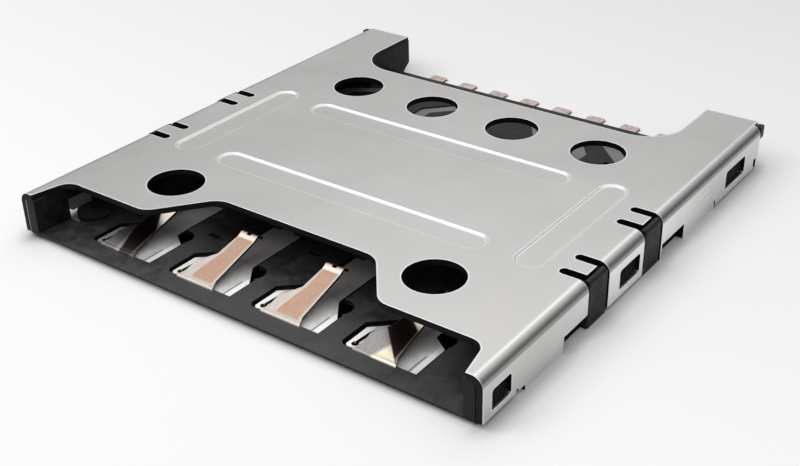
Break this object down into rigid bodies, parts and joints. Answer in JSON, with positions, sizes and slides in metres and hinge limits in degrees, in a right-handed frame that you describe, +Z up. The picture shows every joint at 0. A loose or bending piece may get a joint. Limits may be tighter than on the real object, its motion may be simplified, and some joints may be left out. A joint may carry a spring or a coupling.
{
  "type": "SIM card connector",
  "caption": "Low flat push-pull SIM card connector: folded metal shell over a black moulded floor with rows of folded spring contacts and solder tails at the back.",
  "frame": {"origin": "middle of the footprint on the solder plane, halfway between the front edge and the tail ends", "axes": "+Z up from the board, +Y from the card mouth towards the solder tails, +X to the right seen from the card mouth"},
  "size_m": [0.0132, 0.0138, 0.0012],
  "materials": {
    "shell": "satin stainless sheet with bright cut edges",
    "housing": "matt black heat-resistant moulding",
    "contacts": "plated copper alloy, pale on the plates and tails, copper-rose on the spring strips"
  },
  "bodies": {
    "root": {"shell": "shell", "housing": "housing", "terminal_front_1": "contacts", "terminal_front_2": "contacts", "terminal_front_3": "contacts", "terminal_front_4": "contacts", "terminal_rear_1": "contacts", "terminal_rear_2": "contacts", "terminal_rear_3": "contacts", "terminal_rear_4": "contacts"}
  },
  "joints": []
}
